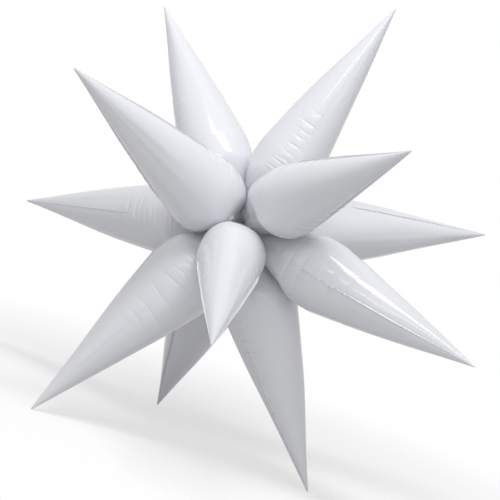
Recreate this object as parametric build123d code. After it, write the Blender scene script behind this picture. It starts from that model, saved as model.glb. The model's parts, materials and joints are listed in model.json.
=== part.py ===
from build123d import *
from collections import namedtuple
import math
import os

# A starburst balloon: twelve blown film cones, their tails threaded on one tie cord at the middle.
# Lengths are in millimetres and angles in degrees. The star stands on the tips of three cones.

# Each cone by its place, seen from the front of the star. polar is the angle between the cone and the line
# of sight and bearing the way it leans, anticlockwise from the right. seam is how far its seam is turned
# about the cone from lying across the view. shoulder is the radius of the wall where the cones press
# together, none where the dome itself lies there, and radius that of the dome. seat is how far from the tie
# the middle of the dome is drawn in, and reach how far from it the tip comes.
Cone = namedtuple("Cone", "polar bearing seam shoulder radius seat reach")
CONES = {
    "upper_left": Cone(polar=54.5, bearing=136.2, seam=172, shoulder=None, radius=46, seat=76.5, reach=313),
    "front": Cone(polar=23, bearing=256, seam=0, shoulder=30.5, radius=41.5, seat=91.5, reach=322.5),
    "top_right": Cone(polar=86, bearing=54.8, seam=95, shoulder=30.5, radius=42, seat=101.5, reach=320.5),
    "lower_left": Cone(polar=78.5, bearing=220.8, seam=94, shoulder=30.5, radius=48.5, seat=94, reach=330),
    "right": Cone(polar=108, bearing=358.4, seam=45, shoulder=30, radius=45.5, seat=94.5, reach=323),
    "rear": Cone(polar=171, bearing=65, seam=25, shoulder=30.5, radius=45, seat=94.5, reach=326),
    "top_left": Cone(polar=114, bearing=109, seam=22, shoulder=29.5, radius=43.5, seat=107.5, reach=326),
    "upper_right": Cone(polar=36.5, bearing=24.3, seam=172, shoulder=26.5, radius=43, seat=107.5, reach=332.5),
    "bottom": Cone(polar=91, bearing=284.2, seam=135, shoulder=29, radius=45.5, seat=98, reach=328),
    "left": Cone(polar=123, bearing=172.7, seam=92, shoulder=29.5, radius=46, seat=101.5, reach=334),
    "bottom_rear": Cone(polar=131, bearing=244.7, seam=125, shoulder=28, radius=46.5, seat=110, reach=342.5),
    "lower_right": Cone(polar=63.8, bearing=329.3, seam=95, shoulder=25.5, radius=44.5, seat=127.5, reach=340.5),
}
FEET = ("lower_left", "bottom_rear", "bottom")
# The tie cord's way from eyelet to eyelet, with its knot between the last and the first.
TIE_ORDER = ("rear", "bottom_rear", "bottom", "lower_right", "front", "lower_left", "left", "top_left",
             "upper_left", "upper_right", "top_right", "right")

FILM = 0.4              # wall of a film panel
DOME_GAP = 0.4          # room between the domes of neighbouring cones
POLE_REACH = 25.5       # distance from the tie to which every cone's inner end is drawn in
POLE_RADIUS = 15        # rounding of a cone's inner end
SHOULDER_REACH = 64     # distance from the tie of the middle of every shoulder
TIP_RADIUS = 2.5        # rounding of a cone's tip
TIP_SEAL = 6            # length of tip where both films are sealed together
FOOT_CUT = 0.5          # depth of the flat on the tips that the star stands on
FLOOR_WIDTH = 2000      # block of floor that the feet are cut flat on
FLOOR_DEPTH = 100
FIN_WIDTH = 2.4         # width of the heat-sealed fin along a cone's sides
FIN_START = 18          # distance from the dome at which the fin begins to stand out
FIN_RAMP = 24           # length over which the fin grows
FIN_FADE = 110          # length over which it narrows away to the tip

VALVE_FILM = 0.3        # wall of each valve film
VALVE_GAP = 0.2         # air way between the valve films
VALVE_SEAL = 1.6        # sealed edge on each side of the air way
VALVE_INSIDE = 48       # length of the valve inside the cone
NECK_RADIUS = 2.5       # gathered neck where the valve comes out of the cone
NECK_LENGTH = 7
NECK_FIT = 0.1          # room between the neck and the films around it
NECK_STEP = 2.4         # length of bare neck between the cone's inner end and the flat of the valve
EYELET_RADIUS = 3.4     # hole in the tail for the tie cord
EYELET_RIM = 1.6        # film left around the hole

CORD_RADIUS = 0.9       # tie cord
CORD_FIT = 0.4          # room between the cord and the rim that it pulls on
CORD_BEND = 3           # radius of the cord's bend at an eyelet
TIE_RADIUS = 16         # distance of the cord's bends from the middle of the star
KNOT_RADIUS = 2.4       # tie knot
KNOT_LENGTH = 4
KNOT_ROUNDING = 0.8
KNOT_END = 8            # length of the cord's two cut ends at the knot
KNOT_SPLAY = 28         # angle of each cut end from the middle line between them

SIGHT = Vector(0, 0, 1)     # towards the front of the star, while its cones are being seated
VALVE_THICKNESS = 2 * VALVE_FILM + VALVE_GAP
TAIL_HALF_WIDTH = EYELET_RADIUS + EYELET_RIM
EYELET_REACH = TIE_RADIUS + EYELET_RADIUS - CORD_RADIUS - CORD_FIT    # from the tie to an eyelet's middle
TAIL_LENGTH = POLE_REACH - EYELET_REACH     # from a cone's inner end to its eyelet's middle
SETTLING_ROUNDS = 30    # enough for the corners of the cord's way to stop moving


def direction(cone):
    """The way a cone points, with x to the right, y up and z towards the front."""
    polar = math.radians(cone.polar)
    bearing = math.radians(cone.bearing)
    sideways = math.sin(polar)
    return Vector(sideways * math.cos(bearing), sideways * math.sin(bearing), math.cos(polar))


def seam_direction(cone):
    """The way across a cone, square to it, on which its seam lies."""
    along = direction(cone)
    across = along.cross(SIGHT).normalized()
    return across.rotate(Axis((0, 0, 0), along), cone.seam)


def seat_cones():
    """Distance of each dome's middle from the tie: its seat, or further out where a neighbour is."""
    seats = {}
    for name, cone in CONES.items():
        seat = cone.seat
        for _ in range(len(seats)):
            for other, other_seat in seats.items():
                turn = math.radians(direction(cone).get_angle(direction(CONES[other])))
                reach = cone.radius + CONES[other].radius + DOME_GAP
                beside = other_seat * math.sin(turn)
                if beside >= reach:
                    continue
                nearest = other_seat * math.cos(turn)
                push = math.sqrt(reach**2 - beside**2)
                if abs(seat - nearest) < push:
                    seat = nearest + push
        seats[name] = seat
    return seats


SEATS = seat_cones()


def tip_centre(name):
    """Middle of a cone's rounded tip, measured from the tie."""
    return direction(CONES[name]) * (CONES[name].reach - TIP_RADIUS)


def standing_axes():
    """The star's x, y and z axes once it stands on its feet, with y pointing away from the viewer."""
    first, second, third = (tip_centre(name) for name in FEET)
    up = (second - first).cross(third - first).normalized()
    if up.dot(first) > 0:
        up = -up
    ahead = (up * up.dot(SIGHT) - SIGHT).normalized()
    return ahead.cross(up), ahead, up


AXES = standing_axes()


def stand(way):
    """Turn a way from the seating axes into the standing ones."""
    return Vector(*(way.dot(axis) for axis in AXES))


def tie_centre():
    """Place of the tie: feet on the floor, and the star's box centred over the origin."""
    tips = [stand(tip_centre(name)) for name in CONES]
    middle_x = (min(tip.X for tip in tips) + max(tip.X for tip in tips)) / 2
    middle_y = (min(tip.Y for tip in tips) + max(tip.Y for tip in tips)) / 2
    lowest = stand(tip_centre(FEET[0])).Z
    return Vector(-middle_x, -middle_y, TIP_RADIUS - FOOT_CUT - lowest)


TIE = tie_centre()


def cone_place(name):
    """Plane of a standing cone: origin in the dome's middle, z to the tip, x towards the seam."""
    cone = CONES[name]
    along = stand(direction(cone))
    return Plane(TIE + along * SEATS[name], x_dir=stand(seam_direction(cone)), z_dir=along)


def on_circle(radius, angle, height=0.0):
    """Point of a circle about the cone's axis line, its angle counted up from square to the axis."""
    return Vector(radius * math.cos(angle), 0, height + radius * math.sin(angle))


def wall_balls(name):
    """Balls that a cone's wall is drawn over, inner end first: radius, and height from the dome's middle."""
    cone = CONES[name]
    balls = [
        (POLE_RADIUS, POLE_REACH + POLE_RADIUS),
        (cone.shoulder, SHOULDER_REACH),
        (cone.radius, SEATS[name]),
        (TIP_RADIUS, cone.reach - TIP_RADIUS),
    ]
    return [(radius, away - SEATS[name]) for radius, away in balls if radius]


def wall_slopes(balls):
    """Angle from each ball's middle up to where the wall leaves it for the next ball."""
    return [math.asin((near[0] - far[0]) / (far[1] - near[1])) for near, far in zip(balls, balls[1:])]


def flank(name):
    """Foot and end of a cone's long side, its way along, and its way out."""
    balls = wall_balls(name)
    slope = wall_slopes(balls)[-1]
    foot, end = (on_circle(radius, slope, height) for radius, height in balls[-2:])
    return foot, end, (end - foot).normalized(), on_circle(1, slope)


def wall_line(name, inset):
    """Outline of a cone from its inner end to the start of its rounded tip, set in from the outside."""
    balls = wall_balls(name)
    slopes = wall_slopes(balls)
    line = []
    for ball, start, stop, next_ball in zip(balls, [-math.pi / 2] + slopes, slopes, balls[1:]):
        radius, height = ball[0] - inset, ball[1]
        arc = [on_circle(radius, angle, height) for angle in (start, (start + stop) / 2, stop)]
        line.append(ThreePointArc(*arc))
        line.append(Line(arc[-1], on_circle(next_ball[0] - inset, stop, next_ball[1])))
    return line


def film_shell(name):
    """Half of a cone's film wall, on the +y side of the seam, with a solid sealed tip."""
    outer = wall_line(name, 0)
    inner = wall_line(name, FILM)
    foot, end, along, _ = flank(name)
    length = CONES[name].reach - SEATS[name]
    tip = length - TIP_RADIUS
    seal = tip - TIP_SEAL
    inner_foot = inner[-1] @ 0
    seal_rim = inner_foot + along * ((seal - inner_foot.Z) / along.Z)
    tip_middle = on_circle(TIP_RADIUS, (wall_slopes(wall_balls(name))[-1] + math.pi / 2) / 2, tip)
    outline = [
        *outer,
        ThreePointArc(end, tip_middle, (0, 0, length)),
        Line((0, 0, length), (0, 0, seal)),
        Line((0, 0, seal), seal_rim),
        Line(seal_rim, inner_foot),
        *reversed(inner[:-1]),
        Line(inner[0] @ 0, outer[0] @ 0),
    ]
    return revolve(Face(Wire(outline)), axis=Axis.Z, revolution_arc=180)


def seam_fin(name, side):
    """One panel's layer of the fin on one side of the cone, rooted in the film wall."""
    foot, end, along, outward = flank(name)
    start = foot + along * FIN_START
    root = outward * (FILM / 2)
    corners = [
        start - root,
        start,
        start + along * FIN_RAMP + outward * FIN_WIDTH,
        end - along * FIN_FADE + outward * FIN_WIDTH,
        end,
        end - root,
    ]
    outline = Polyline(*(Vector(side * corner.X, 0, corner.Z) for corner in corners), close=True)
    return extrude(Face(Wire(outline.edges())), amount=FILM, dir=(0, 1, 0))


def film_panel(name):
    """Film panel on the +y side of the seam, with half of the hole that the neck comes out of."""
    panel = film_shell(name) + seam_fin(name, 1) + seam_fin(name, -1)
    return panel - Pos(0, 0, POLE_REACH - SEATS[name]) * Cylinder(NECK_RADIUS + NECK_FIT, NECK_LENGTH)


def valve_sleeve(length):
    """Two valve films sealed along their edges, from a step off the cone's end up to length."""
    upwards = (Align.CENTER, Align.CENTER, Align.MIN)
    films = Box(2 * TAIL_HALF_WIDTH, VALVE_THICKNESS, length - NECK_STEP, align=upwards)
    air_way = Box(2 * (TAIL_HALF_WIDTH - VALVE_SEAL), VALVE_GAP, length, align=upwards)
    return Pos(0, 0, NECK_STEP) * films - Pos(0, 0, NECK_LENGTH / 2) * air_way


def tail_turn(name):
    """Turn of a tail about its cone's line that faces its eyelet along the cord."""
    place = cone_place(name)
    way = CORD_WAYS[name]
    return math.degrees(math.atan2(-way.dot(place.x_dir), way.dot(place.y_dir)))


def valve(name):
    """Valve inside the cone, its gathered neck, and its tail with the eyelet for the tie cord."""
    eyelet = Pos(0, 0, TAIL_LENGTH)
    tail_end = Cylinder(TAIL_HALF_WIDTH, VALVE_THICKNESS, rotation=(90, 0, 0))
    hole = Cylinder(EYELET_RADIUS, 2 * VALVE_THICKNESS, rotation=(90, 0, 0))
    tail = valve_sleeve(TAIL_LENGTH) + eyelet * tail_end - eyelet * hole
    neck = Cylinder(NECK_RADIUS, NECK_LENGTH)
    whole = valve_sleeve(VALVE_INSIDE) + neck + Rot(0, 0, tail_turn(name)) * Rot(180, 0, 0) * tail
    return Pos(0, 0, POLE_REACH - SEATS[name]) * whole


def bend_inset(before, corner, after):
    """From a corner of the cord's way to the middle of its bend there, and the cord's way at that middle."""
    back = (before - corner).normalized()
    onward = (after - corner).normalized()
    half_opening = math.radians(back.get_angle(onward)) / 2
    depth = CORD_BEND * (1 / math.sin(half_opening) - 1)
    return (back + onward).normalized() * depth, (onward - back).normalized()


def neighbours(points):
    """Each point of a ring with the one before it and the one after it."""
    return zip(points[-1:] + points[:-1], points, points[1:] + points[:1])


def cord_corners():
    """Corners of the cord's way in tie order, moved out until each bend has its middle on its cone's line."""
    bends = [stand(direction(CONES[name])) * TIE_RADIUS for name in TIE_ORDER]
    corners = bends
    for _ in range(SETTLING_ROUNDS):
        insets = [bend_inset(*trio)[0] for trio in neighbours(corners)]
        corners = [bend - inset for bend, inset in zip(bends, insets)]
    return corners


CORNERS = cord_corners()
CORD_WAYS = {name: bend_inset(*trio)[1] for name, trio in zip(TIE_ORDER, neighbours(CORNERS))}


def knot_plane():
    """Plane of the tie knot, midway on the cord's last run, with z along that run."""
    middle = (CORNERS[-1] + CORNERS[0]) / 2
    run = (CORNERS[0] - CORNERS[-1]).normalized()
    inward = -(middle - run * middle.dot(run)).normalized()
    return Plane(TIE + middle, x_dir=inward, z_dir=run)


def tie_cord():
    """The tie cord, out of one end of the knot, through every eyelet and into the knot's other end."""
    knot = knot_plane()
    half_knot = knot.z_dir * (KNOT_LENGTH / 2)
    corners = [TIE + corner for corner in CORNERS]
    way = FilletPolyline(knot.origin + half_knot, *corners, knot.origin - half_knot, radius=CORD_BEND)
    section = Plane(way @ 0, z_dir=way % 0) * Circle(CORD_RADIUS)
    cord = sweep(section, path=way)
    plain = math.pi * CORD_RADIUS**2 * way.length
    print(f"tie cord: length {way.length:.1f}, volume {cord.volume:.1f}, section times length {plain:.1f}")
    return cord


def tie_knot():
    """Barrel of the knot, with the cord's two cut ends standing in towards the middle of the star."""
    barrel = Cylinder(KNOT_RADIUS, KNOT_LENGTH)
    barrel = fillet(barrel.edges().filter_by(GeomType.CIRCLE), KNOT_ROUNDING)
    end = Cylinder(CORD_RADIUS, KNOT_END, align=(Align.CENTER, Align.CENTER, Align.MIN))
    ends = [Rot(0, 90 + splay, 0) * end for splay in (KNOT_SPLAY, -KNOT_SPLAY)]
    return knot_plane().location * (barrel + ends[0] + ends[1])


def main():
    os.makedirs("parts", exist_ok=True)
    floor = Box(FLOOR_WIDTH, FLOOR_WIDTH, FLOOR_DEPTH, align=(Align.CENTER, Align.CENTER, Align.MAX))
    for name in CONES:
        place = cone_place(name).location
        near_panel = film_panel(name)
        panels = {"a": near_panel, "b": mirror(near_panel, about=Plane.XZ)}
        for letter, panel in panels.items():
            panel = place * panel
            if name in FEET:
                panel = panel - floor
            export_step(panel, f"parts/{name}_cone_panel_{letter}.step")
        export_step(place * valve(name), f"parts/{name}_cone_valve.step")
        print(f"{name}: seat {SEATS[name]:.2f}")
    export_step(tie_cord(), "parts/tie_cord.step")
    export_step(tie_knot(), "parts/tie_knot.step")
    print("tie centre", TIE)


if __name__ == "__main__":
    main()
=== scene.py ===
import json
import math
from collections import namedtuple

import bpy
import numpy as np
from mathutils import Matrix, Vector


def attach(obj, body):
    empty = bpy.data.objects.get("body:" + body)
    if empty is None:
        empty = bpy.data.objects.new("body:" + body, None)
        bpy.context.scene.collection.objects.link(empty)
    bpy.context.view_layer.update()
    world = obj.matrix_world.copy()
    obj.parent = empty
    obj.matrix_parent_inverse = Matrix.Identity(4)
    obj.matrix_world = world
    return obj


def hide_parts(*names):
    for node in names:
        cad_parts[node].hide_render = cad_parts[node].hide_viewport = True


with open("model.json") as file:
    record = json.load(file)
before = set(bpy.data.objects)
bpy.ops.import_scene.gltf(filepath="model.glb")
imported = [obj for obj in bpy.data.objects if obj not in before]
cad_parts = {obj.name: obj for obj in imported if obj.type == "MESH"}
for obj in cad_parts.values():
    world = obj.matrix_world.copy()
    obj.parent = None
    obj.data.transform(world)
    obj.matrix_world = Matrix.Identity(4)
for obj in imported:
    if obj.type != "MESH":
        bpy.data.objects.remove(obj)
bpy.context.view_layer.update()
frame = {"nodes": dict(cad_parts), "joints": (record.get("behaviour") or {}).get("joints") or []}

# A starburst balloon of glossy white film. Shapes are worked out in millimetres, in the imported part's
# frame, and put into meshes in metres. Turns about a cone's line are in radians.
MM = 0.001
FULL_TURN = 2 * math.pi

# Camera, matched to the photograph's view of the cones' tips. Distances on the picture are pixels of 500.
PICTURE = 500
CAMERA_ELEVATION = math.radians(4.46)
CAMERA_ROLL = math.radians(19.08)
CAMERA_DISTANCE = 2225
FOCAL_PIXELS = 1854
TIE_PIXEL = (240.8, 228.0)
SENSOR = 36

# Wall of a cone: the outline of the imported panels, drawn over four balls, with a sharper tip
TIP_RADIUS = 1.3
POLE_REACH = 25.5       # from the tie to a cone's neck
POLE_RADIUS = 15
SHOULDER_REACH = 64     # from the tie to the middle of a shoulder's ball
SHOULDERS = {
    "front": 30.5, "top_right": 30.5, "lower_left": 30.5, "right": 30, "rear": 30.5, "top_left": 29.5,
    "upper_right": 26.5, "bottom": 29, "left": 29.5, "bottom_rear": 28, "lower_right": 25.5,
}
NECK_HOLE = 2.6
TWIST = math.radians(30)
FILM = 0.15
PANEL_GAP = 0.02        # from the plane of the seams to each panel
CLOSING_RADIUS = 5      # radius of the wall below which that gap narrows away
FLOOR_CLEARANCE = 0.17

# Grid of a panel: rows lie close from the neck to past the dome and again at the tip, and columns crowd
# towards the seams
ARC_POINTS = 40
ROW_STEP = 1.0
CREASED_ROW_STEP = 0.6
CLOSE_ROWS_END = 70
FLANK_ROW_STEP = 2.6
TIP_ROWS_LENGTH = 12
TIP_ROWS = 16
PANEL_COLUMNS = 61
SEAM_CROWDING = 0.25

# Fins: sealed edges that stand out along the seams. One that leans over is rippled.
FIN_WIDTH = 2.4
FIN_START = 18
FIN_RAMP = 24
FIN_FADE = 110
FIN_LEAST = 0.03        # share of its width from which a fin is made
FIN_FOUND = 0.8         # share of its width from which a packed point counts as on a fin
FIN_COLUMNS = (-0.25, 0.3, 0.65, 1.0)   # millimetres under the wall, then shares of the width
RIPPLE = 0.8
RIPPLE_LENGTHS = (1.9, 5.3)
RIPPLE_FADE = (20, 60)

# Room that the film may swell into between a cone and its neighbours, whatever way they are twisted
SWELL_LEAST = -0.1
SWELL_MOST = 9
SWELL_MARGIN = 0.3
NEIGHBOURS_END = 120    # run past which no neighbour is near
FAR_OFF = 1000.0
TURNS = 72

# How full the film is: the power of the thick end's outline, the height of the flank's bulge, and how
# rounded the swell and the whole relief are where they meet the room that they have
FULLNESS = 2.7
FLANK_BULGE = 1.6
SWELL_ROUNDING = 2.5
RELIEF_ROUNDING = 0.5

# Ways in which single cones differ. Neighbours push a thick end off its cone's line, to the right and up
# in the photograph, and slim it. A fin stands up by a share of its width, starts at another run, and leans
# over by a multiple of its width. Ticks go along the seams up to a run, and creases cross the seam that
# faces the front at the runs given. Runs are counted from the end of the dome.
PUSHED = {"upper_right": (0.5, 5.0), "front": (-2.5, 0.5)}
SLIMMER = {"upper_right": 1.0, "front": 2.0}
PUSH_RISE = (-1.7, -0.8)    # heights, in dome radii, between which a push sets in
FIN_SHARES = {
    "top_right": 0.1, "lower_left": 0.1, "lower_right": 0.4, "left": 0.3, "right": 0.5, "bottom": 0.5,
    "upper_left": 0.7, "upper_right": 0.7,
}
FIN_STARTS = {"lower_right": -40}
FIN_LEANS = {"lower_right": 1.7}
TICKED = {
    "upper_left": 60, "lower_right": 90, "right": 100, "left": 60, "bottom": 20, "rear": 80, "top_left": 40,
    "bottom_rear": 60,
}
FRONT_CREASES = {
    "top_right": (-54, -47, -40, -32, -25, -17, -11, -2, 9, 20, 29, 40, 56),
    "lower_right": (-62, -41, -22, -5, 17, 37, 62),
    "left": (-48, -40, -33, -25, -17, -10, -2, 8, 17, 30, 44),
    "bottom": (-50, -40, -30, -22, -14, -2, 12, 26, 40),
}

# Creases over the seams: how far apart they are, where they start and end, how far away from the seam they
# go, how they lean, and the shape of their valleys and of the bulges between them
CREASE_SPACING = (9, 24)
MOST_CREASES = 20
CREASES_START = -0.9    # share of the wall from the neck to the end of the dome
CREASES_END = 85
CREASE_REACH = (12, 42)
CREASE_REACHES = {"top_right": (9, 26), "lower_right": (20, 38), "bottom": (14, 34)}
CREASE_SHIFTS = {"top_right": -0.2}
CREASE_LEAN = 0.2
CREASE_DEPTH = 0.5
CREASE_DEPTHS = (0.7, 1.1)  # shares of that depth
CREASE_LOSS = 0.5           # share of it that is lost by CREASES_END
CREASE_WIDTH = 0.8
SEAM_RADIUS = 4             # least radius that distances from the seam are taken at
BULGE = 0.055
BULGE_SPAN = 14

# Ticks that pucker a seam: how far apart they are, how far from it they go, and their height and width
TICK_SPACING = (3, 8)
MOST_TICKS = 50
TICK_REACH = (3, 9)
TICK_HEIGHT = (-0.3, 0.3)
TICK_WIDTH = 1.3

# Tension ridges towards the tip: how wide and slanting they are, in radians, where they start, over what
# length they rise, how high they are, and the radius below which they flatten out
RIDGES = 18
RIDGE_WIDTH = (0.09, 0.2)
RIDGE_SLANT = (-0.15, 0.15)
RIDGE_START = (-30, 60)
RIDGE_RISE = 40
RIDGE_HEIGHT = (-0.3, 0.4)
RIDGED_RADIUS = 24

# Pleats around the neck, and wide waves all over. PHASE is the range that a wave's start is drawn from.
PHASE = (0, 6)
PLEATS = 11
PLEAT_UNEVENNESS = 0.35
PLEAT_HEIGHT = 0.8
PLEAT_MIDDLE = 0.7
PLEATS_FADE = (-0.97, -0.5)     # shares of the wall from the neck to the end of the dome
PLEATED_RADIUS = 12
WAVE_COUNTS = (2, 3, 5)
WAVE_LENGTH = (22, 45)
WAVE_HEIGHT = 0.35
RELIEF_DROP = 0.2

# Valves. Places along one are counted from the neck's hole into the cone.
TAIL_LENGTH = 7.4
TAIL_FOUND = 0.4        # share of its length from which a packed point counts as on the tail
SLEEVE_START = -4.2
VALVE_INSIDE = 48
NECK_ROWS = 35
SLEEVE_ROWS = 40
SLEEVE_SIDES = 40
VALVE_HALF_WIDTH = 5
NECK_RADIUS = 2.2
NECK_ROUND = 1.0        # from the hole to where the neck begins to flatten
NECK_END = 6            # from the hole to where it is flat
NECK_FLATTENING = 1.8   # how much thinner half of the flat sleeve is than the neck
NECK_TURN = 2.2         # from the hole to where the tail's turn ends, on either side
NECK_PLEATS = 9
NECK_PLEAT_DEPTH = 0.1
TAIL_SPREAD = 1.6       # how much wider half of the tail is than the neck
SLEEVE_WAVE = 0.5
SLEEVE_WAVE_LENGTH = 3.1
SLEEVE_WAVE_RISE = (6, 20)
EYELET_RADIUS = 3.4
RIM_OUT = 0.95          # from the eyelet's edge to the middle of its rim
RIM_WIDE = 0.55
RIM_THICK = 0.35
RIM_ROWS = 48
RIM_SIDES = 10

# Tie cord: its way from eyelet to eyelet, and the strands that wind about it
TIE_ORDER = ("rear", "bottom_rear", "bottom", "lower_right", "front", "lower_left", "left", "top_left",
             "upper_left", "upper_right", "top_right", "right")
TIE_RADIUS = 16         # from the tie to the middles of the cord's bends
CORD_BEND = 3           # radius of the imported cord's bends
SETTLING_ROUNDS = 30    # enough for the corners of its way to stop moving
END_PASS = 0.6          # share of an end span at which the cord's line passes its eyelet
LINE_STEPS = 24
CORD_ROWS = 560
CORD_LAY = 6
STRANDS = 3
STRAND_OFF = 0.43
STRAND_WIDE = 0.45
STRAND_THICK = 0.47
STRAND_SIDES = 9

# Tie knot: turns of the cord wound about its own line, and two cut ends that curve and flare where they fray
KNOT_LENGTH = 4
KNOT_TURNS = 3
KNOT_ROWS = 150
KNOT_SIDES = 12
WINDING_RADIUS = 1.6
WINDING_HALF_LENGTH = 1.35
WINDING_WIDE = 0.68
WINDING_THICK = 0.62
END_LENGTH = 8
END_ROWS = 40
END_SPLAY = math.radians(28)
END_CURVE = 0.5
END_CURVE_TURN = 3
END_RADIUS = 0.82
END_DENT = 0.1
END_DENT_TURN = 18
FRAY = 0.25
FRAY_START = 0.88

# Spacing and height of the finishes' fine patterns. Real cotton fibres are far finer than the drawn ones,
# which are as coarse as they need to be to show.
FILM_WAVE, FILM_WAVE_HEIGHT = 9, 0.4
VALVE_CRINKLE, VALVE_CRINKLE_HEIGHT = 2, 0.3
CORD_FIBRE, CORD_FIBRE_HEIGHT = 0.4, 0.1

# Strength of the studio's even light, how much it gains towards its strongest side, and that side's way
# from the tie along the photograph's axes: to the right, up and towards the viewer
WORLD_LEVEL = 0.36
WORLD_GAIN = 0.68
WORLD_SIDE = (-0.2, -0.5, 1.0)

# Floor: half its width, the distances between which its lit middle fades to white, in metres, and its glow
FLOOR_REACH = 6.0
FLOOR_LIT, FLOOR_WHITE = 0.35, 0.8
FLOOR_GLOW = 0.48
WHITE = (1, 1, 1, 1)

Cone = namedtuple("Cone", "name short middle along seam facing radius length")
Wall = namedtuple("Wall", "run radius height out_radius out_height")


def unit(way):
    """A way made one long."""
    return way / np.linalg.norm(way)


def units(ways):
    """Rows of ways, each made one long."""
    return ways / np.linalg.norm(ways, axis=1)[:, None]


def smooth_step(low, high, value):
    """0 before low, 1 after high, and between them thrice the square of the share less twice its cube."""
    share = np.clip((value - low) / (high - low), 0, 1)
    return share * share * (3 - 2 * share)


def soft_least(one, other, rounding):
    """The lesser of two heights, rounded off below both where they meet.
    It is half of their sum less the root of the squares of their difference and of the rounding."""
    return (one + other - np.sqrt((one - other)**2 + rounding**2)) / 2


def mesh_points(mesh):
    """Points of a mesh, in millimetres, one row each."""
    points = np.empty(len(mesh.vertices) * 3, np.float32)
    mesh.vertices.foreach_get("co", points)
    return points.reshape(-1, 3).astype(float) / MM


def add_object(name, data):
    """A new object in the scene."""
    added = bpy.data.objects.new(name, data)
    bpy.context.scene.collection.objects.link(added)
    return added


def read_cone(joint):
    """A cone's place and sizes from its twist joint and its packed panel.
    The dome's radius is the furthest that the panel's points below the fins lie from the axis, the length
    is how far the panel reaches along it, and the seam is the line through the points that stand furthest
    out of the flank."""
    name = joint["child"]
    middle = np.array(joint["pos_m"]) / MM
    along = unit(np.array(joint["axis"]))
    points = mesh_points(frame["nodes"][name + "_panel_a"].data) - middle
    height = points @ along
    across = points - np.outer(height, along)
    apart = np.linalg.norm(across, axis=1)
    radius = apart[height < FIN_START].max()
    length = height.max()
    flank = radius * (1 - height / length)
    fins = across[(apart > flank + FIN_FOUND * FIN_WIDTH) & (height > FIN_START)]
    seam = np.linalg.eigh(fins.T @ fins)[1][:, -1]
    facing = unit(np.cross(along, seam))
    if across.mean(0) @ facing < 0:
        facing = -facing
    short = name.removesuffix("_cone")
    return Cone(name, short, middle, along, np.cross(facing, along), facing, radius, length)


def meeting_point(cones):
    """The point nearest to all the cones' lines, where the tie is.
    It is the least squares answer for the part of its distance that is square to each line."""
    squares = [np.eye(3) - np.outer(cone.along, cone.along) for cone in cones]
    return np.linalg.solve(sum(squares), sum(square @ cone.middle for square, cone in zip(squares, cones)))


CONES = [read_cone(joint) for joint in frame["joints"]]
TIE = meeting_point(CONES)

# The photograph's own axes in the standing frame: to its right, up it, and out of it towards the viewer
level_right = np.array([1.0, 0.0, 0.0])
level_up = np.array([0.0, math.sin(CAMERA_ELEVATION), math.cos(CAMERA_ELEVATION)])
TOWARDS = np.array([0.0, -math.cos(CAMERA_ELEVATION), math.sin(CAMERA_ELEVATION)])
RIGHT = level_right * math.cos(CAMERA_ROLL) + level_up * math.sin(CAMERA_ROLL)
UP = level_up * math.cos(CAMERA_ROLL) - level_right * math.sin(CAMERA_ROLL)
AXES = np.array([RIGHT, UP, TOWARDS])


def make_camera():
    """Camera on the photograph's line of sight to the tie, swung so that the tie falls on its pixel."""
    data = bpy.data.cameras.new("camera")
    data.sensor_width = SENSOR
    data.lens = SENSOR * FOCAL_PIXELS / PICTURE
    camera = add_object("camera", data)
    place = TIE + TOWARDS * CAMERA_DISTANCE
    scale = CAMERA_DISTANCE / FOCAL_PIXELS
    aim = TIE + RIGHT * (PICTURE / 2 - TIE_PIXEL[0]) * scale - UP * (PICTURE / 2 - TIE_PIXEL[1]) * scale
    back = unit(place - aim)
    side = unit(np.cross(UP, back))
    turn = Matrix(np.column_stack([side, np.cross(back, side), back]).tolist())
    camera.matrix_world = Matrix.Translation(Vector(place * MM)) @ turn.to_4x4()
    bpy.context.scene.camera = camera


def srgb(text):
    """Linear colour of an sRGB hex value such as #E0E0E0."""
    shares = [int(text[place:place + 2], 16) / 255 for place in (1, 3, 5)]
    linear = [share / 12.92 if share <= 0.04045 else ((share + 0.055) / 1.055)**2.4 for share in shares]
    return linear + [1.0]


def add_node(tree, kind, inputs=None, **settings):
    """Add a node with its own settings, and with a value for each input or the socket linked to it."""
    made = tree.nodes.new(kind)
    for name, value in settings.items():
        setattr(made, name, value)
    for name, value in (inputs or {}).items():
        if isinstance(value, bpy.types.NodeSocket):
            tree.links.new(value, made.inputs[name])
        else:
            made.inputs[name].default_value = value
    return made


def new_material(name):
    """An empty node material and its tree."""
    material = bpy.data.materials.new(name)
    material.use_nodes = True
    material.node_tree.nodes.clear()
    return material, material.node_tree


def white_film():
    """Heat-sealed white balloon film: opaque, smooth and glossy, with a slight drawn waviness."""
    material, tree = new_material("glossy_white_balloon_film")
    place = add_node(tree, "ShaderNodeTexCoord").outputs["Object"]
    wave = add_node(tree, "ShaderNodeTexNoise", {
        "Vector": place, "Scale": 1 / (FILM_WAVE * MM), "Detail": 2.0})
    bump = add_node(tree, "ShaderNodeBump", {
        "Height": wave.outputs["Fac"], "Strength": 0.25, "Distance": FILM_WAVE_HEIGHT * MM})
    shader = add_node(tree, "ShaderNodeBsdfPrincipled", {
        "Base Color": srgb("#ECEDF2"), "Roughness": 0.13, "IOR": 1.5, "Normal": bump.outputs["Normal"]})
    add_node(tree, "ShaderNodeOutputMaterial", {"Surface": shader.outputs["BSDF"]})
    return material


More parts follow.
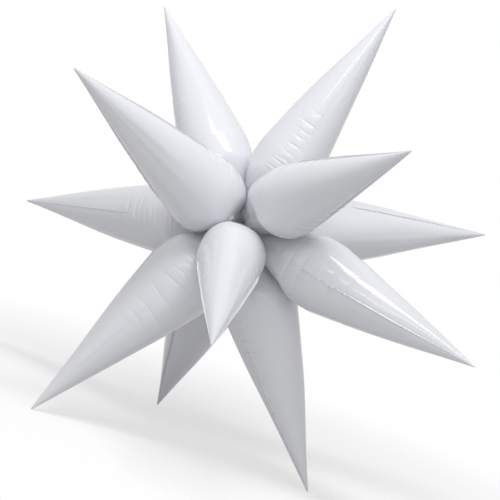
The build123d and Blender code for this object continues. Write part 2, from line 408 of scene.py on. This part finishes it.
def valve_film():
    """Clear polyethylene of a valve: thin, drawn film, milky where it lies double, and finely crinkled."""
    material, tree = new_material("milky_polyethylene_valve_film")
    place = add_node(tree, "ShaderNodeTexCoord").outputs["Object"]
    crinkle = add_node(tree, "ShaderNodeTexNoise", {
        "Vector": place, "Scale": 1 / (VALVE_CRINKLE * MM), "Detail": 3.0})
    bump = add_node(tree, "ShaderNodeBump", {
        "Height": crinkle.outputs["Fac"], "Strength": 0.3, "Distance": VALVE_CRINKLE_HEIGHT * MM})
    cloud = add_node(tree, "ShaderNodeMapRange", {
        "Value": crinkle.outputs["Fac"], "To Min": 0.22, "To Max": 0.4})
    shader = add_node(tree, "ShaderNodeBsdfPrincipled", {
        "Base Color": srgb("#DDE0E5"), "Roughness": cloud.outputs[0], "IOR": 1.51,
        "Transmission Weight": 0.25, "Normal": bump.outputs["Normal"]})
    add_node(tree, "ShaderNodeOutputMaterial", {"Surface": shader.outputs["BSDF"]})
    return material


def cotton_cord():
    """Bleached cotton cord: matt, faintly fuzzy strands with fine fibres of slightly uneven shade."""
    material, tree = new_material("bleached_cotton_cord")
    place = add_node(tree, "ShaderNodeTexCoord").outputs["Object"]
    fibre = add_node(tree, "ShaderNodeTexNoise", {
        "Vector": place, "Scale": 1 / (CORD_FIBRE * MM), "Detail": 2.0})
    shade = add_node(tree, "ShaderNodeMix", {
        "Factor": fibre.outputs["Fac"], "A": srgb("#CFCBC0"), "B": srgb("#EDEAE2")}, data_type="RGBA")
    bump = add_node(tree, "ShaderNodeBump", {
        "Height": fibre.outputs["Fac"], "Strength": 0.5, "Distance": CORD_FIBRE_HEIGHT * MM})
    shader = add_node(tree, "ShaderNodeBsdfPrincipled", {
        "Base Color": shade.outputs["Result"], "Roughness": 0.9, "Sheen Weight": 0.2,
        "Normal": bump.outputs["Normal"]})
    add_node(tree, "ShaderNodeOutputMaterial", {"Surface": shader.outputs["BSDF"]})
    return material


def wall_balls(cone):
    """Balls that a cone's wall is drawn over, inner end first: radius, and height from the dome's middle.
    A cone without a shoulder has no ball there."""
    seat = np.linalg.norm(cone.middle - TIE)
    shoulder = SHOULDERS.get(cone.short)
    balls = [(POLE_RADIUS, POLE_REACH + POLE_RADIUS - seat), (shoulder, SHOULDER_REACH - seat),
             (cone.radius, 0.0), (TIP_RADIUS, cone.length - TIP_RADIUS)]
    return [ball for ball in balls if ball[0]]


def outline(cone):
    """Rows of a cone's wall from neck to tip: run along the film, radius, height and the outward way's two
    parts. The wall is an arc of each ball, with a straight side from ball to ball that touches both: the
    side leaves a ball at the angle whose sine is the difference of the two radii over the distance between
    their middles. The run is counted from the end of the dome's arc."""
    balls = wall_balls(cone)
    slopes = [math.asin((near[0] - far[0]) / (far[1] - near[1])) for near, far in zip(balls, balls[1:])]
    starts = [-math.acos(NECK_HOLE / POLE_RADIUS)] + slopes
    arcs = []
    for (size, height), start, stop in zip(balls, starts, slopes + [math.pi / 2]):
        angle = np.linspace(start, stop, ARC_POINTS)
        arcs.append(np.column_stack([size * np.cos(angle), height + size * np.sin(angle), angle]))
    line = np.concatenate(arcs)
    run = np.concatenate([[0], np.cumsum(np.hypot(np.diff(line[:, 0]), np.diff(line[:, 1])))])
    run -= run[-ARC_POINTS - 1]
    end = run[-1]
    tip_rows_start = end - TIP_ROWS_LENGTH
    step = CREASED_ROW_STEP if cone.short in FRONT_CREASES else ROW_STEP
    rows = np.concatenate([
        np.arange(run[0], CLOSE_ROWS_END, step), np.arange(CLOSE_ROWS_END, tip_rows_start, FLANK_ROW_STEP),
        np.linspace(tip_rows_start, end, TIP_ROWS)])
    radius, height, angles = (np.interp(rows, run, part) for part in line.T)
    return Wall(rows, np.maximum(radius, 0), height, np.cos(angles), np.sin(angles))


def swell_room(cone):
    """How far the film may stand out of the plain wall, on rows of run and TURNS columns about the axis.
    It is half of the distance to the nearest neighbour's plain wall, less a margin, at its least over the
    whole twist. The distance is taken in the half plane through the point and the neighbour's axis."""
    wall = outline(cone)
    turn = np.arange(TURNS) * FULL_TURN / TURNS
    out = np.cos(turn)[:, None] * cone.seam + np.sin(turn)[:, None] * cone.facing
    points = cone.middle + wall.height[:, None, None] * cone.along + wall.radius[:, None, None] * out
    near = wall.run < NEIGHBOURS_END
    gap = np.full(points.shape[:2], FAR_OFF)
    for other in CONES:
        if other is cone:
            continue
        other_wall = outline(other)
        wall_radius, wall_height = other_wall.radius[::2], other_wall.height[::2]
        offset = points[near] - other.middle
        rise = offset @ other.along
        apart = np.sqrt(np.maximum((offset**2).sum(-1) - rise**2, 0))
        away = np.hypot(apart[..., None] - wall_radius, rise[..., None] - wall_height).min(-1)
        gap[near] = np.minimum(gap[near], away)
    reach = round(TWIST / (FULL_TURN / TURNS)) + 1
    least = np.min([np.roll(gap, step, axis=1) for step in range(-reach, reach + 1)], axis=0)
    return np.clip((least - SWELL_MARGIN) / 2, SWELL_LEAST, SWELL_MOST)


def crease_runs(cone, seam_way, base, draw):
    """Where creases cross one seam: listed where it faces the front of the star, or else drawn."""
    spaced = CREASES_START * base + np.cumsum(draw.uniform(*CREASE_SPACING, MOST_CREASES))
    chosen = FRONT_CREASES.get(cone.short)
    if chosen and seam_way @ TOWARDS > 0:
        return np.array(chosen, float)
    return spaced[spaced < CREASES_END]


def crease_seam(relief, cone, wall, turn, seam_turn, seam_way, draw):
    """Add the creases and ticks over one seam to the relief.
    The film bulges between one crease and the next, as a parabola in the run between them, and each crease
    is a thin bell-shaped valley; both die out away from the seam. Short ticks pucker the seam itself."""
    run, radius = wall.run[:, None], wall.radius[:, None]
    side = np.angle(np.exp(1j * (turn - seam_turn)))
    away = np.abs(side - CREASE_SHIFTS.get(cone.short, 0)) * np.maximum(radius, SEAM_RADIUS)
    runs = crease_runs(cone, seam_way, -wall.run.min(), draw)
    lean = draw.uniform(-CREASE_LEAN, CREASE_LEAN, (len(runs), 2))
    reach = draw.uniform(*CREASE_REACHES.get(cone.short, CREASE_REACH), (len(runs), 2))
    deep = draw.uniform(*CREASE_DEPTHS, len(runs)) * (1 - CREASE_LOSS * smooth_step(0, CREASES_END, runs))
    lines = [here + np.where(side > 0, *slant) * away for here, slant in zip(runs, lean)]
    for place, here in enumerate(lines):
        fade = np.clip(1 - (away / np.where(side > 0, *reach[place]))**2, 0, 1)
        relief -= CREASE_DEPTH * deep[place] * np.exp(-((run - here) / CREASE_WIDTH)**2) * fade
        if place + 1 < len(lines):
            share = np.clip((run - here) / (lines[place + 1] - here), 0, 1)
            bulge = BULGE * min(runs[place + 1] - runs[place], BULGE_SPAN) * deep[place]
            relief += 4 * bulge * share * (1 - share) * fade**2
    ticks = runs[0] + np.cumsum(draw.uniform(*TICK_SPACING, MOST_TICKS))
    for here in ticks[ticks < TICKED.get(cone.short, 0)]:
        fade = np.clip(1 - (away / draw.uniform(*TICK_REACH))**2, 0, 1)
        relief += draw.uniform(*TICK_HEIGHT) * np.exp(-((run - here) / TICK_WIDTH)**2) * fade


def film_relief(cone, wall, turn, draw):
    """Height of the film's creases over the plain wall, on the grid of run along it and turn about it.
    Creases and ticks lie over both seams. Straight tension ridges run up to the tip, each a bell curve in
    the turn, pleats gather the film at the neck as a cosine of the turn, and wide waves, sines of the run
    times cosines of the turn, keep the wall from being a perfect cone."""
    base = -wall.run.min()
    length = wall.run.max()
    run, radius = wall.run[:, None], wall.radius[:, None]
    turn = turn[None, :]
    relief = np.zeros((run.size, turn.size))
    for seam_turn, seam_way in ((0.0, cone.seam), (math.pi, -cone.seam)):
        crease_seam(relief, cone, wall, turn, seam_turn, seam_way, draw)
    thin = np.minimum(radius / RIDGED_RADIUS, 1)
    for _ in range(RIDGES):
        ridge_turn = draw.uniform(-math.pi, math.pi)
        width = draw.uniform(*RIDGE_WIDTH)
        start = draw.uniform(*RIDGE_START)
        height = draw.uniform(*RIDGE_HEIGHT)
        across = np.angle(np.exp(1j * (turn - ridge_turn - draw.uniform(*RIDGE_SLANT) * run / length)))
        risen = smooth_step(start, start + RIDGE_RISE, run)
        relief += height * np.exp(-(across / width)**2) * risen * thin**2
    pleat_turn = turn + PLEAT_UNEVENNESS * np.sin(2 * turn + draw.uniform(*PHASE))
    pleats = np.cos(PLEATS * pleat_turn + draw.uniform(*PHASE))
    faded = 1 - smooth_step(*(share * base for share in PLEATS_FADE), run)
    relief += PLEAT_HEIGHT * (pleats - PLEAT_MIDDLE) * faded * np.minimum(radius / PLEATED_RADIUS, 1)
    for count in WAVE_COUNTS:
        wave = np.sin(run / draw.uniform(*WAVE_LENGTH) + draw.uniform(*PHASE))
        relief += WAVE_HEIGHT * wave * np.cos(count * turn + draw.uniform(*PHASE)) * thin
    return relief - RELIEF_DROP


def thick_end_shape(cone, height, turn):
    """How far a cone's thick end stands off its plain wall where its neighbours push it aside or slim it.
    The push is its component along the way out of the wall, fading out towards the tip."""
    right, up = PUSHED.get(cone.short, (0, 0))
    push = RIGHT * right + UP * up
    off_line = np.cos(turn) * (push @ cone.seam) + np.sin(turn) * (push @ cone.facing)
    set_in = smooth_step(*(share * cone.radius for share in PUSH_RISE), height)
    share = smooth_step(cone.length, 0, height) * set_in
    return share[:, None] * (off_line[None, :] - SLIMMER.get(cone.short, 0))


def film_lift(cone, wall, turn, room, draw):
    """How far a panel's film stands out of the plain wall, on the grid of rows and turns.
    The thick end swells towards a fuller outline, where the height and the radius, each as a share of its
    most and raised to FULLNESS, add up to 1. The flank is fuller by a cubic, the share of the run times
    the square of what is left of it, which is highest a third of the way to the tip, at 4/27. Creases and
    the neighbours' push come on top, and the whole is rounded off below the room that the film has."""
    lift = film_relief(cone, wall, turn, draw)
    column = (turn % FULL_TURN) * TURNS / FULL_TURN
    before = np.floor(column).astype(int)
    share = column - before
    allowed = room[:, before % TURNS] * (1 - share) + room[:, (before + 1) % TURNS] * share
    inward = np.clip(wall.height / wall.height.min(), 0, 1)
    full = cone.radius * np.maximum(1 - inward**FULLNESS, 0)**(1 / FULLNESS)
    swell = np.where(wall.height < 0, np.maximum(full - wall.radius, 0), 0)[:, None]
    lift += soft_least(swell, allowed, SWELL_ROUNDING) + thick_end_shape(cone, wall.height, turn)
    way = np.clip(wall.run / wall.run.max(), 0, 1)[:, None]
    lift += FLANK_BULGE * 27 / 4 * way * (1 - way)**2
    return soft_least(lift, allowed, RELIEF_ROUNDING)


def fin_rows(cone, run):
    """The rows on which a cone's fins stand up, their width there, and how many widths they lean aside.
    A fin grows by a smooth step from its start and narrows in line with the run that is left to the tip.
    The lean varies with a ripple, the product of two sines of the run."""
    start = FIN_STARTS.get(cone.short, FIN_START)
    grown = smooth_step(start, start + FIN_RAMP, run) * np.clip((run.max() - run) / FIN_FADE, 0, 1)
    rows = np.flatnonzero(grown > FIN_LEAST)
    width = FIN_WIDTH * FIN_SHARES.get(cone.short, 1) * grown[rows, None]
    quick, slow = (np.sin(run[rows] / length) for length in RIPPLE_LENGTHS)
    ripple = quick * slow * (1 - smooth_step(*RIPPLE_FADE, run[rows]))
    lean = -np.sign(cone.facing @ UP) * FIN_LEANS.get(cone.short, 0) * (1 + RIPPLE * ripple[:, None])
    return rows, width, lean


def grid_faces(rows, columns, first=0):
    """Four-sided faces of a grid of points that starts at a given point."""
    corner = first + (np.arange(rows - 1)[:, None] * columns + np.arange(columns - 1)[None, :]).ravel()
    return np.column_stack([corner, corner + 1, corner + columns + 1, corner + columns])


def make_piece(name, points, faces, material):
    """A smooth mesh object from points in millimetres."""
    mesh = bpy.data.meshes.new(name)
    mesh.from_pydata((points * MM).tolist(), [], faces)
    mesh.shade_smooth()
    mesh.materials.append(material)
    return add_object(name, mesh)


def film_panel(cone, letter, material, room, draw_seed):
    """One film panel: the half wall between the seams, and a strip of fin standing out along each seam.
    Columns go about the axis from seam to seam, spread by a cubic; rows go from neck to tip, where they
    meet in one point. A strip's columns go from just inside the wall to the fin's edge, on its rows."""
    wall = outline(cone)
    half = np.linspace(-1, 1, PANEL_COLUMNS)
    turn = (half * (1 + SEAM_CROWDING - SEAM_CROWDING * half**2) + 1) * math.pi / 2
    side = 1 if letter == "a" else -1
    lift = film_lift(cone, wall, side * turn, room, np.random.RandomState(draw_seed))
    gap = PANEL_GAP * np.minimum(wall.radius / CLOSING_RADIUS, 1)[:, None]

    def placed(off, about, rows=slice(None), aside=0):
        """Points that stand off the plain wall on some rows, at turns about the axis, shifted aside."""
        ring = wall.radius[rows, None] + off * wall.out_radius[rows, None]
        rise = wall.height[rows, None] + off * wall.out_height[rows, None]
        across = side * (np.abs(ring * np.sin(about)) + gap[rows]) + aside
        return (cone.middle + rise[..., None] * cone.along + (ring * np.cos(about))[..., None] * cone.seam
                + across[..., None] * cone.facing)

    sheet = placed(lift, turn)
    sheet[-1] = cone.middle + cone.length * cone.along
    rows, columns = sheet.shape[:2]
    tip = (rows - 1) * columns
    points = [sheet.reshape(-1, 3)[:tip + 1]]
    last = (rows - 2) * columns + np.arange(columns - 1)
    faces = [grid_faces(rows - 1, columns), np.column_stack([last, last + 1, np.full(len(last), tip)])]
    finned, width, lean = fin_rows(cone, wall.run)
    out = np.array(FIN_COLUMNS)
    for place, seam_turn in ((0, 0.0), (-1, math.pi)):
        off = lift[finned, place][:, None] + np.where(out > 0, out * width, out)
        order = slice(None, None, -1 if place == 0 else 1)
        aside = (np.maximum(out, 0) * width * lean)[:, order]
        strip = placed(off[:, order], np.full(len(out), seam_turn), finned, aside)
        faces.append(grid_faces(*strip.shape[:2], sum(len(part) for part in points)))
        points.append(strip.reshape(-1, 3))
    points = np.concatenate(points)
    points[:, 2] = np.maximum(points[:, 2], FLOOR_CLEARANCE)
    faces = [face[::side] for part in faces for face in part.tolist()]
    piece = make_piece(f"{cone.name}_film_{letter}", points, faces, material)
    thick = piece.modifiers.new("film", "SOLIDIFY")
    thick.thickness = FILM * MM
    thick.offset = -1
    piece.modifiers.new("even_shading", "WEIGHTED_NORMAL")
    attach(piece, cone.name)
    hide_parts(f"{cone.name}_panel_{letter}")


def side_ways(path, outward):
    """Ways square to a path at its points: outward made square to it, and the way square to both.
    The path's own way is the difference of the points before and after."""
    way = units(np.gradient(path, axis=0))
    outward = units(outward - (outward * way).sum(1)[:, None] * way)
    return outward, np.cross(way, outward)


def closed_tube(path, outward, wide, thick, around):
    """Points and faces of a closed tube: ovals along a path, wide along outward and thick square to it."""
    outward, beside = side_ways(path, outward)
    angle = np.arange(around) * FULL_TURN / around
    points = (path[:, None] + (np.asarray(wide)[..., None] * np.cos(angle))[..., None] * outward[:, None]
              + (np.asarray(thick)[..., None] * np.sin(angle))[..., None] * beside[:, None])
    rows = len(path)
    ring = np.arange(around)
    corner = (np.arange(rows - 1)[:, None] * around + ring).ravel()
    onward = (np.arange(rows - 1)[:, None] * around + (ring + 1) % around).ravel()
    faces = np.column_stack([corner, onward, onward + around, corner + around]).tolist()
    ends = [ring[::-1].tolist(), ((rows - 1) * around + ring).tolist()]
    return points.reshape(-1, 3), faces + ends


def joined(parts):
    """Several sets of points and faces as one."""
    starts = np.cumsum([0] + [len(points) for points, _ in parts])
    faces = [[corner + start for corner in face] for (_, part), start in zip(parts, starts) for face in part]
    return np.concatenate([points for points, _ in parts]), faces


def eyelet_rim(middle, first, second):
    """Flat ring of film at an eyelet: an oval carried round a circle in the plane of first and second."""
    turn = np.arange(RIM_ROWS)[:, None] * FULL_TURN / RIM_ROWS
    angle = np.arange(RIM_SIDES) * FULL_TURN / RIM_SIDES
    out = np.cos(turn) * first + np.sin(turn) * second
    reach = EYELET_RADIUS + RIM_OUT + RIM_WIDE * np.cos(angle)
    raised = (RIM_THICK * np.sin(angle))[None, :, None] * np.cross(first, second)
    points = middle + reach[None, :, None] * out[:, None] + raised
    row, place = np.meshgrid(np.arange(RIM_ROWS), np.arange(RIM_SIDES), indexing="ij")
    on, up = (row + 1) % RIM_ROWS, (place + 1) % RIM_SIDES
    corners = [row * RIM_SIDES + place, on * RIM_SIDES + place, on * RIM_SIDES + up, row * RIM_SIDES + up]
    return points.reshape(-1, 3), np.stack(corners, -1).reshape(-1, 4).tolist()


def valve_piece(cone, material):
    """The valve of a cone: a flat sleeve of film inside it, gathered to a round neck at the hole, and a
    flat tail with an eyelet for the tie cord. The sleeve is a run of ovals along the cone's line that are
    flat inside, round at the neck and flat again in the tail's own plane, with pleats at the neck, a
    cosine of the turn, and a slight sine wave along the sleeve."""
    neck = TIE + cone.along * POLE_REACH
    points = mesh_points(frame["nodes"][cone.name + "_valve"].data) - neck
    tail = points[points @ cone.along < -TAIL_FOUND * TAIL_LENGTH]
    across = tail - np.outer(tail @ cone.along, cone.along)
    tail_way = np.linalg.eigh(across.T @ across)[1][:, -1]
    tail_turn = math.atan2(tail_way @ cone.facing, tail_way @ cone.seam)
    place = np.concatenate([np.linspace(SLEEVE_START, NECK_END, NECK_ROWS),
                            np.linspace(NECK_END, VALVE_INSIDE, SLEEVE_ROWS)[1:]])
    flat = smooth_step(NECK_ROUND, NECK_END, np.abs(place))
    turn = tail_turn * (1 - smooth_step(-NECK_TURN, NECK_TURN, place))
    outward = np.cos(turn)[:, None] * cone.seam + np.sin(turn)[:, None] * cone.facing
    wave = SLEEVE_WAVE * np.sin(place / SLEEVE_WAVE_LENGTH) * smooth_step(*SLEEVE_WAVE_RISE, place)
    path = neck + place[:, None] * cone.along + wave[:, None] * cone.facing
    wide = NECK_RADIUS + (VALVE_HALF_WIDTH - NECK_RADIUS) * flat
    wide = np.where(place < 0, np.minimum(wide, NECK_RADIUS + TAIL_SPREAD * flat), wide)
    thick = NECK_RADIUS - NECK_FLATTENING * flat
    sleeve, faces = closed_tube(path, outward, wide, thick, SLEEVE_SIDES)
    rows = sleeve.reshape(len(place), SLEEVE_SIDES, 3)
    pleat_turn = np.arange(SLEEVE_SIDES) * FULL_TURN / SLEEVE_SIDES * NECK_PLEATS
    pleats = 1 - NECK_PLEAT_DEPTH * (1 - flat[:, None]) * (1 + np.cos(pleat_turn))
    sleeve = (path[:, None] + (rows - path[:, None]) * pleats[..., None]).reshape(-1, 3)
    tail_out = math.cos(tail_turn) * cone.seam + math.sin(tail_turn) * cone.facing
    rim = eyelet_rim(neck - cone.along * TAIL_LENGTH, cone.along, tail_out)
    piece = make_piece(f"{cone.name}_valve_sleeve", *joined([(sleeve, faces), rim]), material)
    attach(piece, cone.name)
    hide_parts(f"{cone.name}_valve")


def cord_bends():
    """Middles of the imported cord's bends in tie order, each on its cone's line."""
    alongs = {cone.short: cone.along for cone in CONES}
    return TIE + TIE_RADIUS * np.array([alongs[name] for name in TIE_ORDER])


def knot_place():
    """Middle of the knot, the way in from it towards the tie, and the way along it.
    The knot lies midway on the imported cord's last run, which goes from its last corner to its first. A
    corner lies outside its bend's middle by the bend's radius over the sine of half the corner's opening,
    less that radius."""
    bends = cord_bends()
    corners = bends
    for _ in range(SETTLING_ROUNDS):
        back, onward = (units(np.roll(corners, step, axis=0) - corners) for step in (1, -1))
        half_opening = np.arccos((back * onward).sum(1)) / 2
        inset = CORD_BEND / np.sin(half_opening) - CORD_BEND
        corners = bends - inset[:, None] * units(back + onward)
    middle = (corners[-1] + corners[0]) / 2
    along = unit(corners[0] - corners[-1])
    inward = TIE - middle
    return middle, unit(inward - inward @ along * along), along


def cord_points():
    """Points of the tie cord's spline, from the knot through every eyelet and back, to a tenth of a
    millimetre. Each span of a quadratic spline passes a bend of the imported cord. In the middle of a span
    it is an eighth of one point, six eighths of the next and an eighth of the third. In an end span, at
    END_PASS, the end point counts by the square of what is left of the span, the third by half the square
    of END_PASS, and the next by the rest. The points between the ends solve these equations."""
    middle, _, along = knot_place()
    ends = middle + KNOT_LENGTH / 2 * np.array([along, -along])
    passed = cord_bends()
    count = len(passed)
    shares = (6 * np.eye(count) + np.eye(count, k=1) + np.eye(count, k=-1)) / 8
    end_share, third_share = (1 - END_PASS)**2, END_PASS**2 / 2
    for place, beside, end in ((0, 1, ends[0]), (-1, -2, ends[1])):
        shares[place, place] = 1 - end_share - third_share
        shares[place, beside] = third_share
        passed[place] -= end_share * end
    return np.round([ends[0], *np.linalg.solve(shares, passed), ends[1]], 1)


def cord_line():
    """Points of the tie cord's smooth line, evenly spaced, read from its spline."""
    route = cord_points()
    curve = bpy.data.curves.new("tie_line", "CURVE")
    curve.dimensions = "3D"
    curve.resolution_u = LINE_STEPS
    spline = curve.splines.new("NURBS")
    spline.points.add(len(route) - 1)
    for point, place in zip(spline.points, route):
        point.co = (*(MM * place), 1)
    spline.order_u = 3
    spline.use_endpoint_u = True
    holder = bpy.data.objects.new("tie_line", curve)
    mesh = bpy.data.meshes.new_from_object(holder)
    line = mesh_points(mesh)
    bpy.data.objects.remove(holder)
    bpy.data.curves.remove(curve)
    bpy.data.meshes.remove(mesh)
    run = np.concatenate([[0], np.cumsum(np.linalg.norm(np.diff(line, axis=0), axis=1))])
    even = np.linspace(0, run[-1], CORD_ROWS)
    return even, np.column_stack([np.interp(even, run, part) for part in line.T])


def tie_cord(material):
    """The tie cord: strands that wind about its line, each a tube on a helix of one turn in CORD_LAY."""
    run, line = cord_line()
    outward, beside = side_ways(line, line - TIE)
    strands = []
    for start in range(STRANDS):
        turn = FULL_TURN * (run / CORD_LAY + start / STRANDS)
        off = np.cos(turn)[:, None] * outward + np.sin(turn)[:, None] * beside
        strands.append(closed_tube(line + STRAND_OFF * off, off, STRAND_WIDE, STRAND_THICK, STRAND_SIDES))
    piece = make_piece("tie_cord_strands", *joined(strands), material)
    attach(piece, "tie")
    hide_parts("tie_cord")


def tie_knot(material):
    """The knot: turns of the cord on a tight helix about its own line, and two cut ends that flare where
    they fray. An end curves by a sine of the share of its length, and is dented by the square of a quicker
    one. The middle is taken to a tenth of a millimetre, and the two ways to a hundredth."""
    middle, inward, along = knot_place()
    middle, inward, along = np.round(middle, 1), unit(np.round(inward, 2)), unit(np.round(along, 2))
    beside = np.cross(along, inward)
    turn = np.linspace(0, KNOT_TURNS * FULL_TURN, KNOT_ROWS)
    out = np.cos(turn)[:, None] * inward + np.sin(turn)[:, None] * beside
    rise = np.linspace(-WINDING_HALF_LENGTH, WINDING_HALF_LENGTH, KNOT_ROWS)
    wind = middle + out * WINDING_RADIUS + np.outer(rise, along)
    parts = [closed_tube(wind, out, WINDING_WIDE, WINDING_THICK, KNOT_SIDES)]
    step = np.linspace(0, 1, END_ROWS)
    thick = END_RADIUS - END_DENT * np.sin(END_DENT_TURN * step)**2 + FRAY * smooth_step(FRAY_START, 1, step)
    curve = np.outer(END_CURVE * np.sin(END_CURVE_TURN * step), beside)
    for side in (-1, 1):
        splay = END_SPLAY * side
        straight = math.cos(splay) * inward + math.sin(splay) * along
        path = middle + np.outer(END_LENGTH * step, straight) + curve
        parts.append(closed_tube(path, np.tile(beside, (END_ROWS, 1)), thick, thick, KNOT_SIDES))
    piece = make_piece("tie_knot_turns", *joined(parts), material)
    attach(piece, "tie")
    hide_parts("tie_knot")


def shown_plain(tree):
    """Socket that is 1 on rays from the camera, from gloss and through clear film, and 0 on the rest."""
    path = add_node(tree, "ShaderNodeLightPath")
    shown = path.outputs["Is Camera Ray"]
    for name in ("Is Glossy Ray", "Is Transmission Ray"):
        both = {0: shown, 1: path.outputs[name]}
        shown = add_node(tree, "ShaderNodeMath", both, operation="MAXIMUM").outputs[0]
    return shown


def make_floor():
    """Pale floor, lit and shaded near the star and plain white further off.
    The white and the glow are shown plain, and only the pale colour passes light on to the star."""
    mesh = bpy.data.meshes.new("floor")
    corners = [(-1, -1), (1, -1), (1, 1), (-1, 1)]
    mesh.from_pydata([(FLOOR_REACH * x, FLOOR_REACH * y, 0) for x, y in corners], [], [(0, 1, 2, 3)])
    floor = add_object("floor", mesh)
    material, tree = new_material("pale_studio_floor")
    place = add_node(tree, "ShaderNodeTexCoord").outputs["Object"]
    apart = add_node(tree, "ShaderNodeVectorMath", {0: place}, operation="LENGTH")
    far = add_node(tree, "ShaderNodeMapRange", {
        "Value": apart.outputs["Value"], "From Min": FLOOR_LIT, "From Max": FLOOR_WHITE},
        interpolation_type="SMOOTHSTEP")
    pale = add_node(tree, "ShaderNodeBsdfDiffuse", {"Color": srgb("#D0D0D0")})
    glow = add_node(tree, "ShaderNodeEmission", {"Color": WHITE, "Strength": FLOOR_GLOW})
    lit = add_node(tree, "ShaderNodeAddShader", {0: pale.outputs[0], 1: glow.outputs[0]})
    white = add_node(tree, "ShaderNodeEmission", {"Color": WHITE, "Strength": 1.0})
    shown = add_node(tree, "ShaderNodeMixShader", {
        0: far.outputs[0], 1: lit.outputs[0], 2: white.outputs[0]})
    whole = add_node(tree, "ShaderNodeMixShader", {
        0: shown_plain(tree), 1: pale.outputs[0], 2: shown.outputs[0]})
    add_node(tree, "ShaderNodeOutputMaterial", {"Surface": whole.outputs[0]})
    mesh.materials.append(material)


def make_world():
    """White studio: plain white where it is shown plain.
    Its light on the star gains towards its strongest side by the cosine of the angle to that side, and is
    even in the half beyond. No samples are aimed at so soft a light, because they leave grain on the
    narrow tips."""
    world = bpy.data.worlds.new("studio")
    bpy.context.scene.world = world
    world.use_nodes = True
    world.cycles.sampling_method = "NONE"
    tree = world.node_tree
    tree.nodes.clear()
    way = add_node(tree, "ShaderNodeTexCoord").outputs["Generated"]
    strongest = Vector(unit(WORLD_SIDE @ AXES))
    ahead = add_node(tree, "ShaderNodeVectorMath", {0: way, 1: strongest}, operation="DOT_PRODUCT")
    level = add_node(tree, "ShaderNodeMapRange", {
        "Value": ahead.outputs["Value"], "To Min": WORLD_LEVEL, "To Max": WORLD_LEVEL + WORLD_GAIN})
    even = add_node(tree, "ShaderNodeBackground", {"Color": WHITE, "Strength": level.outputs[0]})
    white = add_node(tree, "ShaderNodeBackground", {"Color": WHITE, "Strength": 1.0})
    whole = add_node(tree, "ShaderNodeMixShader", {
        0: shown_plain(tree), 1: even.outputs[0], 2: white.outputs[0]})
    add_node(tree, "ShaderNodeOutputWorld", {"Surface": whole.outputs[0]})


def add_panel_lamp(name, place, wide, high, watts):
    """Flat soft lamp that faces the tie, at a place from it along the photograph's axes, in metres."""
    data = bpy.data.lights.new(name, "AREA")
    data.shape = "RECTANGLE"
    data.size = wide
    data.size_y = high
    data.energy = watts
    lamp = add_object(name, data)
    away = place @ AXES
    lamp.location = Vector(TIE * MM + away)
    lamp.rotation_mode = "QUATERNION"
    lamp.rotation_quaternion = Vector(away).to_track_quat("Z", "Y")


bpy.context.scene.view_settings.view_transform = "Standard"
make_camera()
FILM_MATERIAL = white_film()
VALVE_MATERIAL = valve_film()
CORD_MATERIAL = cotton_cord()
for seed, cone in enumerate(CONES, 1):
    cone_room = swell_room(cone)
    for letter in "ab":
        film_panel(cone, letter, FILM_MATERIAL, cone_room, seed)
    valve_piece(cone, VALVE_MATERIAL)
tie_cord(CORD_MATERIAL)
tie_knot(CORD_MATERIAL)
make_floor()
make_world()
add_panel_lamp("front", place=(0.27, 1.35, 2.30), wide=1.60, high=0.16, watts=4.6)
add_panel_lamp("key", place=(0.31, 1.20, 0.59), wide=1.00, high=0.28, watts=9.0)
